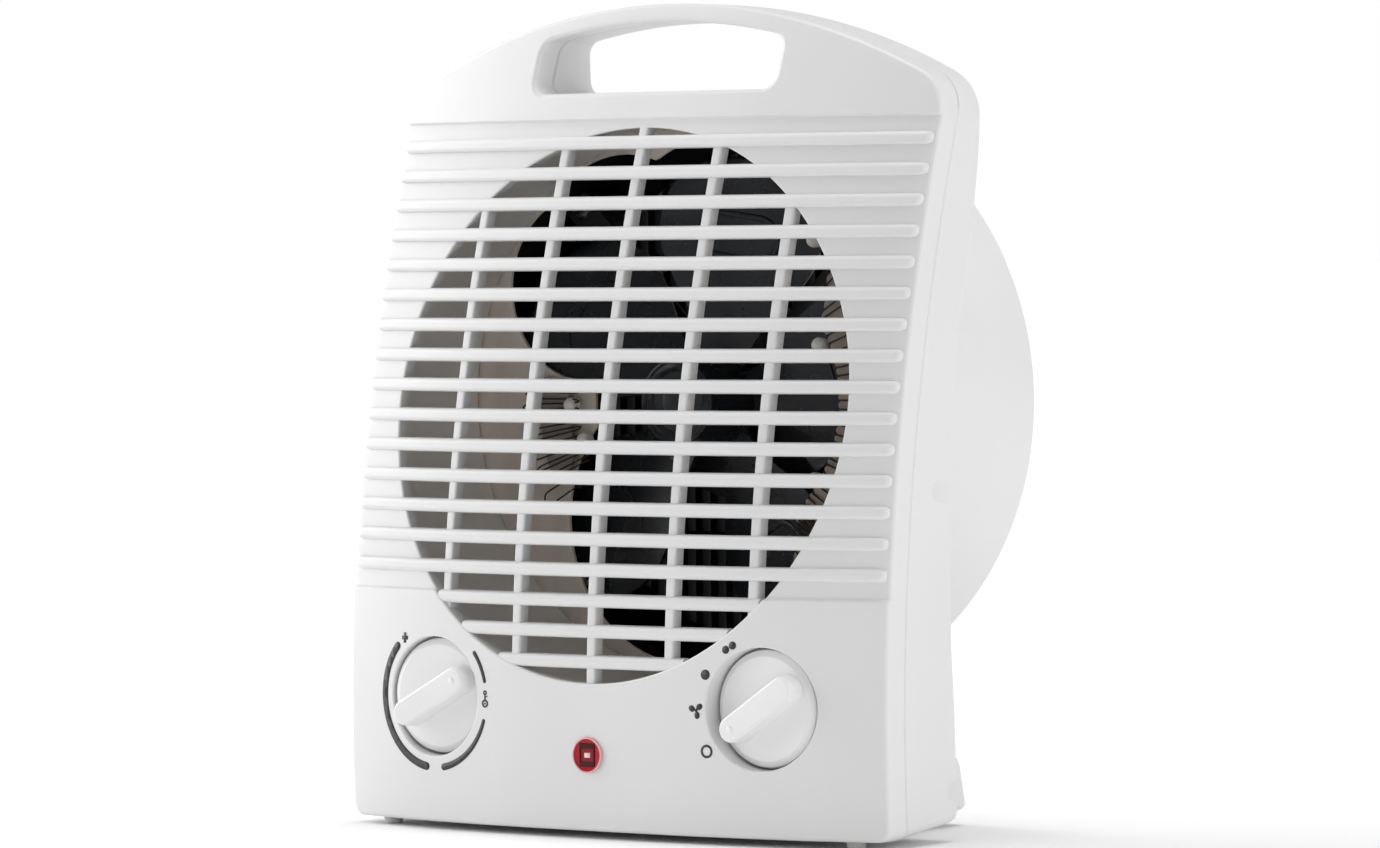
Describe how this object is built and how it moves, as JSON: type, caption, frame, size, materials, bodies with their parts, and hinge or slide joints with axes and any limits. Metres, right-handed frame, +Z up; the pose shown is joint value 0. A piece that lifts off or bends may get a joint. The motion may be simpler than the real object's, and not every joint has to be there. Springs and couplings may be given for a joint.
{
  "type": "portable fan heater",
  "caption": "Upright portable fan heater: white two-part casing, handle opening, barred round outlet, bare-wire element, fan and motor in a rear drum, rotary knobs and a pilot lamp.",
  "frame": {"origin": "on the surface it stands on, under the middle of its bounding box", "axes": "+Z up, +Y towards the rear drum, so the air outlet and the knobs face -Y, and +X to the right seen from the front"},
  "size_m": [0.207, 0.109, 0.26],
  "materials": {
    "white_plastic": "satin",
    "black_plastic": "satin",
    "fan_plastic": "gloss",
    "sheet_steel": "dull",
    "bare_steel": "bright",
    "laminated_steel": "dull",
    "copper_winding": "enamelled",
    "mica_board": "matt",
    "resistance_wire": "oxidised",
    "ceramic_white": "gloss",
    "brass_parts": "bright",
    "red_lens": "gloss",
    "clear_glass": "gloss",
    "pale_rubber": "satin",
    "rubber_parts": "matt"
  },
  "bodies": {
    "housing": {"front_cover": "white_plastic", "rear_cover": "white_plastic", "pilot_lamp_holder": "white_plastic", "terminal_block": "white_plastic", "rear_grille": "black_plastic", "fan_shroud": "black_plastic", "thermostat_body": "black_plastic", "selector_body": "black_plastic", "cord_gland": "black_plastic", "heat_shield_duct": "sheet_steel", "element_baffle": "sheet_steel", "motor_housing": "sheet_steel", "motor_bracket": "sheet_steel", "casing_screw_bottom_left": "bare_steel", "casing_screw_bottom_right": "bare_steel", "casing_screw_middle_left": "bare_steel", "casing_screw_middle_right": "bare_steel", "casing_screw_top_left": "bare_steel", "casing_screw_top_right": "bare_steel", "bracket_screw_1": "bare_steel", "bracket_screw_2": "bare_steel", "bracket_screw_3": "bare_steel", "bracket_screw_4": "bare_steel", "grille_screw_1": "bare_steel", "grille_screw_2": "bare_steel", "grille_screw_3": "bare_steel", "grille_screw_4": "bare_steel", "motor_stator": "laminated_steel", "motor_coil": "copper_winding", "element_mica_left": "mica_board", "element_mica_right": "mica_board", "heating_wire_left": "resistance_wire", "heating_wire_right": "resistance_wire", "ceramic_insulator_1": "ceramic_white", "ceramic_insulator_2": "ceramic_white", "ceramic_insulator_3": "ceramic_white", "ceramic_insulator_4": "ceramic_white", "ceramic_insulator_5": "ceramic_white", "thermal_cutout": "ceramic_white", "element_terminal_left": "brass_parts", "element_terminal_right": "brass_parts", "motor_bearing_front": "brass_parts", "motor_bearing_rear": "brass_parts", "pilot_lamp_lens": "red_lens", "pilot_lamp_bulb": "clear_glass", "foot_front_left": "pale_rubber", "foot_front_right": "pale_rubber", "foot_rear_left": "pale_rubber", "foot_rear_right": "pale_rubber", "lead_lamp": "rubber_parts", "lead_thermostat": "rubber_parts", "lead_selector": "rubber_parts", "lead_motor": "rubber_parts"},
    "thermostat_knob": {"thermostat_knob": "white_plastic", "thermostat_shaft": "bare_steel"},
    "selector_knob": {"selector_knob": "white_plastic", "selector_shaft": "bare_steel"},
    "fan_rotor": {"fan_impeller": "fan_plastic", "motor_shaft": "bare_steel", "motor_rotor": "laminated_steel"}
  },
  "joints": [
    {"name": "thermostat_turn", "type": "hinge", "parent": "housing", "child": "thermostat_knob", "pos_m": [-0.063, 0, 0.0421], "axis": [0, 1, 0], "range_deg": [0, 255]},
    {"name": "selector_turn", "type": "hinge", "parent": "housing", "child": "selector_knob", "pos_m": [0.063, 0, 0.0421], "axis": [0, 1, 0], "range_deg": [0, 94]},
    {"name": "fan_spin", "type": "hinge", "parent": "housing", "child": "fan_rotor", "pos_m": [0, 0, 0.1345], "axis": [0, 1, 0], "continuous": true}
  ]
}
